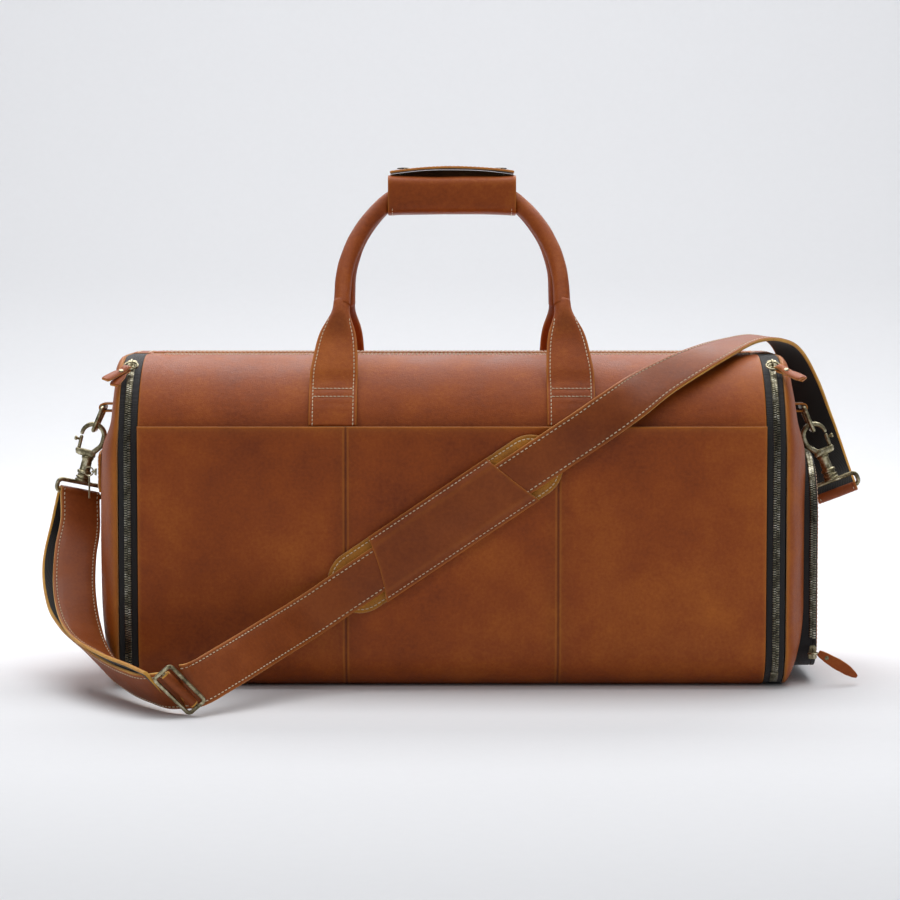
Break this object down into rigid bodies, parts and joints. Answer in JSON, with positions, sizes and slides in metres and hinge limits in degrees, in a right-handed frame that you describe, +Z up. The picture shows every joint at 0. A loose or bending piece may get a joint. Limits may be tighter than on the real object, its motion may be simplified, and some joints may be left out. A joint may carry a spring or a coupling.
{
  "type": "duffel bag",
  "caption": "Boxy leather duffel bag with zipped mouth and ends, joined carry handles, a zipped shoe compartment, slip pockets and a clip-on shoulder strap with sliding pad.",
  "frame": {"origin": "middle of the base, on the surface the bag stands on", "axes": "+X along the bag towards the shoe compartment, -Y towards the pocketed front, +Z up"},
  "size_m": [0.7485, 0.4165, 0.4586],
  "materials": {
    "leather": "oiled, pull-up",
    "strap_leather": "oiled, dyed edge",
    "suede": "napped",
    "zip": "woven tape with metal chain",
    "lining_cloth": "plain weave",
    "board": "matt",
    "foam": "soft",
    "rope": "twisted",
    "antique_brass": "antique, worn"
  },
  "bodies": {
    "bag": {"front_panel": "leather", "back_panel": "leather", "bottom_panel": "leather", "front_pocket": "leather", "mouth_end_patches": "leather", "lining": "lining_cloth", "base_board": "board", "left_end_panel": "leather", "right_end_panel": "leather", "left_end_gusset": "leather", "right_end_gusset": "leather", "left_end_zip": "zip", "right_end_zip": "zip", "shoe_pouch": "lining_cloth", "shoe_frame_zip": "zip", "side_pocket_welt": "leather", "side_pocket_zip": "zip", "handle_bases": "leather", "handle_necks": "leather", "left_ring_tab": "leather", "right_ring_tab": "leather", "left_strap_ring": "antique_brass", "right_strap_ring": "antique_brass", "slide_buckle": "antique_brass", "strap_long_run": "strap_leather", "strap_short_loop": "strap_leather"},
    "handles": {"front_handle_tube": "leather", "back_handle_tube": "leather", "handle_cores": "rope", "grip_wrap": "leather", "grip_padding": "foam", "snap_studs": "antique_brass"},
    "grip_flap": {"grip_flap": "leather", "snap_caps": "antique_brass"},
    "front_mouth_lip": {"front_mouth_lip": "leather", "front_mouth_zip": "zip"},
    "back_mouth_lip": {"back_mouth_lip": "leather", "back_mouth_zip": "zip"},
    "main_zip_slider": {"main_zip_slider": "antique_brass"},
    "main_zip_pull": {"main_zip_pull": "antique_brass"},
    "left_end_zip_slider": {"left_end_zip_slider": "antique_brass"},
    "left_end_zip_pull": {"left_end_zip_pull": "leather"},
    "right_end_zip_slider": {"right_end_zip_slider": "antique_brass"},
    "right_end_zip_pull": {"right_end_zip_pull": "leather"},
    "shoe_door": {"shoe_door": "leather", "shoe_door_zip": "zip"},
    "shoe_zip_slider": {"shoe_zip_slider": "antique_brass"},
    "shoe_zip_pull": {"shoe_zip_pull": "leather"},
    "side_pocket_slider": {"side_pocket_slider": "antique_brass"},
    "side_pocket_pull": {"side_pocket_pull": "antique_brass"},
    "left_d_ring": {"left_d_ring": "antique_brass"},
    "right_d_ring": {"right_d_ring": "antique_brass"},
    "left_hook": {"left_hook": "antique_brass"},
    "left_hook_bolt": {"left_hook_bolt": "antique_brass"},
    "right_hook": {"right_hook": "antique_brass"},
    "right_hook_bolt": {"right_hook_bolt": "antique_brass"},
    "shoulder_pad": {"shoulder_pad_base": "suede", "shoulder_pad_sleeve": "leather"}
  },
  "joints": [
    {"name": "handles_lean", "type": "hinge", "parent": "bag", "child": "handles", "pos_m": [0, 0, 0.262], "axis": [1, 0, 0], "range_deg": [-12, 12], "deforming": ["handle_necks"]},
    {"name": "grip_flap_open", "type": "hinge", "parent": "handles", "child": "grip_flap", "pos_m": [0, 0.016, 0.4547], "axis": [1, 0, 0], "range_deg": [-110, 0]},
    {"name": "front_lip_open", "type": "hinge", "parent": "bag", "child": "front_mouth_lip", "pos_m": [0, -0.045, 0.29075], "axis": [1, 0, 0], "range_deg": [0, 70]},
    {"name": "back_lip_open", "type": "hinge", "parent": "bag", "child": "back_mouth_lip", "pos_m": [0, 0.045, 0.29075], "axis": [1, 0, 0], "range_deg": [-70, 0]},
    {"name": "main_zip_run", "type": "slide", "parent": "bag", "child": "main_zip_slider", "axis": [-1, 0, 0], "range_m": [0, 0.49]},
    {"name": "main_zip_pull_swing", "type": "hinge", "parent": "main_zip_slider", "child": "main_zip_pull", "pos_m": [0.258, 0, 0.2947], "axis": [0, 1, 0], "range_deg": [-18, 0]},
    {"name": "left_end_zip_run", "type": "hinge", "parent": "bag", "child": "left_end_zip_slider", "pos_m": [-0.284, -0.045, 0.206], "axis": [1, 0, 0], "range_deg": [0, 60]},
    {"name": "left_end_zip_pull_swing", "type": "hinge", "parent": "left_end_zip_slider", "child": "left_end_zip_pull", "pos_m": [-0.284, -0.08728, 0.28551], "axis": [1, 0, 0], "range_deg": [-35, 0]},
    {"name": "right_end_zip_run", "type": "hinge", "parent": "bag", "child": "right_end_zip_slider", "pos_m": [0.284, -0.045, 0.206], "axis": [1, 0, 0], "range_deg": [0, 60]},
    {"name": "right_end_zip_pull_swing", "type": "hinge", "parent": "right_end_zip_slider", "child": "right_end_zip_pull", "pos_m": [0.284, -0.08728, 0.28551], "axis": [1, 0, 0], "range_deg": [-35, 0]},
    {"name": "shoe_door_open", "type": "hinge", "parent": "bag", "child": "shoe_door", "pos_m": [0.3214, 0, 0.0126], "axis": [0, 1, 0], "range_deg": [0, 75], "deforming": ["shoe_door", "shoe_door_zip"]},
    {"name": "shoe_zip_run", "type": "slide", "parent": "bag", "child": "shoe_zip_slider", "axis": [0, 0, 1], "range_m": [0, 0.105]},
    {"name": "shoe_zip_pull_swing", "type": "hinge", "parent": "shoe_zip_slider", "child": "shoe_zip_pull", "pos_m": [0.3213, -0.0935, 0.027], "axis": [1, 0, 0], "range_deg": [-35, 0]},
    {"name": "side_pocket_zip_run", "type": "hinge", "parent": "bag", "child": "side_pocket_slider", "pos_m": [0.259, 0, 0.186], "axis": [0, 0, 1], "range_deg": [-3.6, 0]},
    {"name": "side_pocket_pull_swing", "type": "hinge", "parent": "side_pocket_slider", "child": "side_pocket_pull", "pos_m": [-0.32261, -0.056, 0.186], "axis": [0, 0, 1], "range_deg": [-20, 20]},
    {"name": "left_d_ring_swing", "type": "hinge", "parent": "bag", "child": "left_d_ring", "pos_m": [-0.319, 0, 0.241], "axis": [0, 1, 0], "range_deg": [-3, 3]},
    {"name": "right_d_ring_swing", "type": "hinge", "parent": "bag", "child": "right_d_ring", "pos_m": [0.3215, 0, 0.241], "axis": [0, 1, 0], "range_deg": [-3, 3]},
    {"name": "left_hook_swivel", "type": "hinge", "parent": "bag", "child": "left_hook", "pos_m": [-0.32961, 0, 0.21494], "axis": [-0.2419, 0, -0.9703], "range_deg": [-10, 10]},
    {"name": "right_hook_swivel", "type": "hinge", "parent": "bag", "child": "right_hook", "pos_m": [0.3328, 0, 0.21517], "axis": [0.3746, 0, -0.9272], "range_deg": [-10, 10]},
    {"name": "left_hook_bolt_press", "type": "slide", "parent": "left_hook", "child": "left_hook_bolt", "axis": [-0.2419, 0, -0.9703], "range_m": [0, 0.005], "stiffness_N_per_m": 300, "springref_m": -0.004},
    {"name": "right_hook_bolt_press", "type": "slide", "parent": "right_hook", "child": "right_hook_bolt", "axis": [0.3746, 0, -0.9272], "range_m": [0, 0.005], "stiffness_N_per_m": 300, "springref_m": -0.004},
    {"name": "shoulder_pad_slide", "type": "slide", "parent": "bag", "child": "shoulder_pad", "axis": [0.83, 0, 0.5577], "range_m": [-0.03, 0.03]}
  ],
  "couplings": [
    {"joint": "back_lip_open", "follows": "front_lip_open", "ratio": -1}
  ]
}
